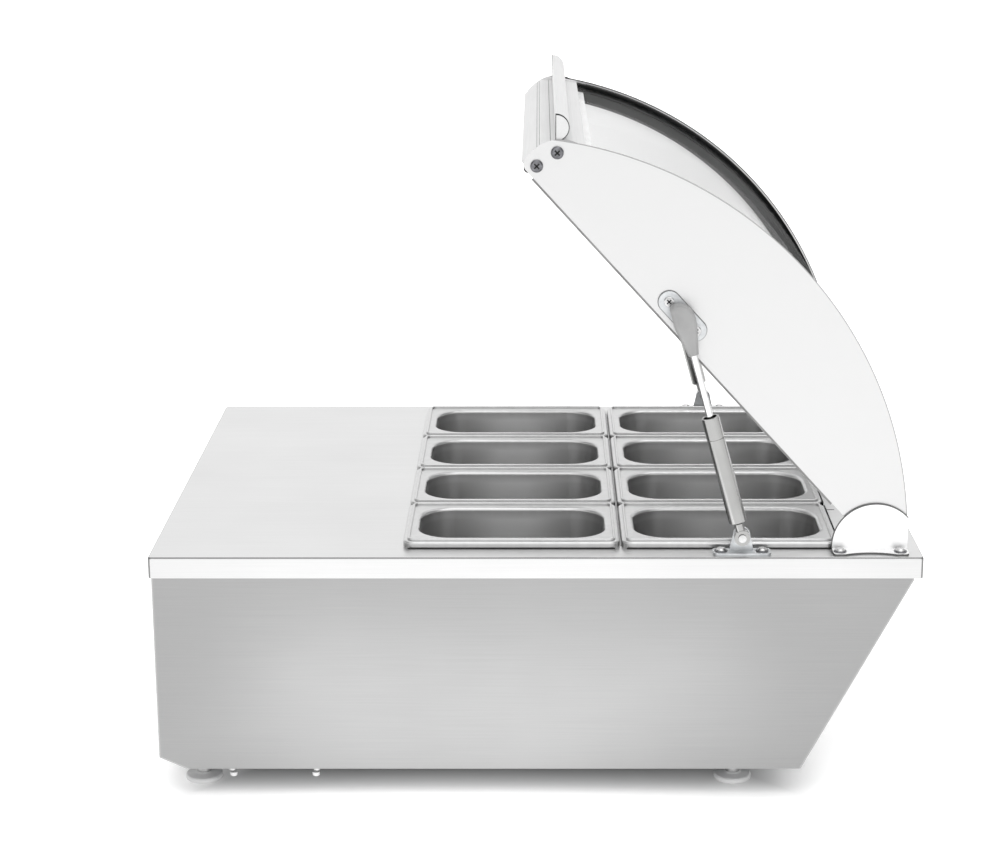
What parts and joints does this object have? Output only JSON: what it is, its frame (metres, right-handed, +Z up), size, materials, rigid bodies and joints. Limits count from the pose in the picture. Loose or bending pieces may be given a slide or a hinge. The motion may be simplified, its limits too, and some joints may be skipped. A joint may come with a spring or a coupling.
{
  "type": "countertop salad display",
  "caption": "Cooled countertop display case for food pans, with a sloped front and a curved glass lid that swings up on gas struts.",
  "frame": {"origin": "on the floor plane below the middle of the worktop", "axes": "+X towards the customer side where the lid is hinged, +Y away from the near side, +Z up"},
  "size_m": [0.622, 0.48, 0.5571],
  "materials": {
    "satin_steel": "fine-ground stainless steel",
    "pan_steel": "bright drawn stainless steel",
    "zinc_steel": "zinc-plated steel",
    "bright_screws": "bright plated",
    "dark_screws": "dark plated",
    "mirror_steel": "polished stainless steel",
    "brushed_steel_cheek": "fine-ground stainless steel",
    "clear_glass": "clear bent glass",
    "black_rubber": "matt black",
    "grey_trim": "grey edge trim",
    "anodised_aluminium": "natural anodised",
    "nickel_tube": "satin nickel",
    "chrome_rod": "hard chrome",
    "grey_plastic": "grey moulded plastic",
    "black_plastic": "black moulded plastic",
    "rocker_plastic": "black moulded plastic",
    "black_paint": "black paint",
    "copper_tube": "bare copper tube",
    "foam": "rigid foam"
  },
  "bodies": {
    "casing": {"worktop": "satin_steel", "side_panel_near": "satin_steel", "side_panel_far": "satin_steel", "front_panel": "satin_steel", "rear_panel": "satin_steel", "base_pan": "zinc_steel", "feet": "grey_plastic", "foot_plates": "zinc_steel", "foot_bolts": "bright_screws", "panel_bolts": "bright_screws", "inner_tank": "pan_steel", "insulation": "foam", "evaporator_coil": "copper_tube", "drain_tube": "grey_plastic", "pan_support_bar": "pan_steel", "hinge_bracket_near": "mirror_steel", "hinge_bracket_far": "mirror_steel", "hinge_nuts": "bright_screws", "hinge_bracket_screws": "bright_screws", "strut_bracket_near": "zinc_steel", "strut_bracket_far": "zinc_steel", "strut_bracket_screws": "bright_screws", "strut_pins": "bright_screws", "compressor": "black_paint", "compressor_mounts": "black_rubber", "compressor_bolts": "bright_screws", "condenser": "zinc_steel", "fan_shroud": "black_plastic", "controller": "black_plastic", "switch_body": "black_plastic", "power_inlet": "black_plastic"},
    "lid": {"cheek_near": "brushed_steel_cheek", "cheek_far": "brushed_steel_cheek", "glass_channel_near": "black_rubber", "glass_channel_far": "black_rubber", "curved_glass": "clear_glass", "edge_profile": "anodised_aluminium", "hinge_rail": "anodised_aluminium", "grip_bar": "anodised_aluminium", "lid_seal": "black_rubber", "cheek_trims": "grey_trim", "nose_screws": "dark_screws", "strut_plate_near": "zinc_steel", "strut_plate_far": "zinc_steel"},
    "near_strut_tube": {"strut_tube_near": "nickel_tube"},
    "near_strut_rod": {"strut_rod_near": "chrome_rod", "strut_hood_near": "grey_plastic"},
    "far_strut_tube": {"strut_tube_far": "nickel_tube"},
    "far_strut_rod": {"strut_rod_far": "chrome_rod", "strut_hood_far": "grey_plastic"},
    "left_pan_1": {"pan_left_1": "pan_steel"},
    "left_pan_2": {"pan_left_2": "pan_steel"},
    "left_pan_3": {"pan_left_3": "pan_steel"},
    "left_pan_4": {"pan_left_4": "pan_steel"},
    "right_pan_1": {"pan_right_1": "pan_steel"},
    "right_pan_2": {"pan_right_2": "pan_steel"},
    "right_pan_3": {"pan_right_3": "pan_steel"},
    "right_pan_4": {"pan_right_4": "pan_steel"},
    "fan": {"fan_rotor": "black_plastic"},
    "rocker": {"switch_rocker": "rocker_plastic"}
  },
  "joints": [
    {"name": "lid_hinge", "type": "hinge", "parent": "casing", "child": "lid", "pos_m": [0.274, 0, 0.212], "axis": [0, 1, 0], "range_deg": [-47.6, 0]},
    {"name": "near_strut_swing", "type": "hinge", "parent": "casing", "child": "near_strut_tube", "pos_m": [0.1657, -0.23, 0.2191], "axis": [0, 1, 0], "range_deg": [-72.3, 0]},
    {"name": "near_strut_stroke", "type": "slide", "parent": "near_strut_tube", "child": "near_strut_rod", "axis": [-0.2668, 0, 0.9637], "range_m": [-0.0488, 0], "stiffness_N_per_m": 50, "springref_m": 1.23},
    {"name": "far_strut_swing", "type": "hinge", "parent": "casing", "child": "far_strut_tube", "pos_m": [0.1657, 0.23, 0.2191], "axis": [0, 1, 0], "range_deg": [-72.3, 0]},
    {"name": "far_strut_stroke", "type": "slide", "parent": "far_strut_tube", "child": "far_strut_rod", "axis": [-0.2668, 0, 0.9637], "range_m": [-0.0488, 0], "stiffness_N_per_m": 50, "springref_m": 1.23},
    {"name": "left_pan_1_lift", "type": "slide", "parent": "casing", "child": "left_pan_1", "axis": [0, 0, 1], "range_m": [0, 0.12]},
    {"name": "left_pan_2_lift", "type": "slide", "parent": "casing", "child": "left_pan_2", "axis": [0, 0, 1], "range_m": [0, 0.12]},
    {"name": "left_pan_3_lift", "type": "slide", "parent": "casing", "child": "left_pan_3", "axis": [0, 0, 1], "range_m": [0, 0.12]},
    {"name": "left_pan_4_lift", "type": "slide", "parent": "casing", "child": "left_pan_4", "axis": [0, 0, 1], "range_m": [0, 0.12]},
    {"name": "right_pan_1_lift", "type": "slide", "parent": "casing", "child": "right_pan_1", "axis": [0, 0, 1], "range_m": [0, 0.12]},
    {"name": "right_pan_2_lift", "type": "slide", "parent": "casing", "child": "right_pan_2", "axis": [0, 0, 1], "range_m": [0, 0.12]},
    {"name": "right_pan_3_lift", "type": "slide", "parent": "casing", "child": "right_pan_3", "axis": [0, 0, 1], "range_m": [0, 0.12]},
    {"name": "right_pan_4_lift", "type": "slide", "parent": "casing", "child": "right_pan_4", "axis": [0, 0, 1], "range_m": [0, 0.12]},
    {"name": "fan_spin", "type": "hinge", "parent": "casing", "child": "fan", "pos_m": [-0.2416, 0.105, 0.0824], "axis": [1, 0, 0], "continuous": true},
    {"name": "rocker_tilt", "type": "hinge", "parent": "casing", "child": "rocker", "pos_m": [-0.3058, -0.14, 0.152], "axis": [0, 1, 0], "range_deg": [-14, 0]}
  ],
  "couplings": [
    {"joint": "near_strut_swing", "follows": "lid_hinge", "ratio": 1.5165},
    {"joint": "near_strut_stroke", "follows": "lid_hinge", "m_per_rad": 0.0585},
    {"joint": "far_strut_swing", "follows": "lid_hinge", "ratio": 1.5165},
    {"joint": "far_strut_stroke", "follows": "lid_hinge", "m_per_rad": 0.0585}
  ]
}
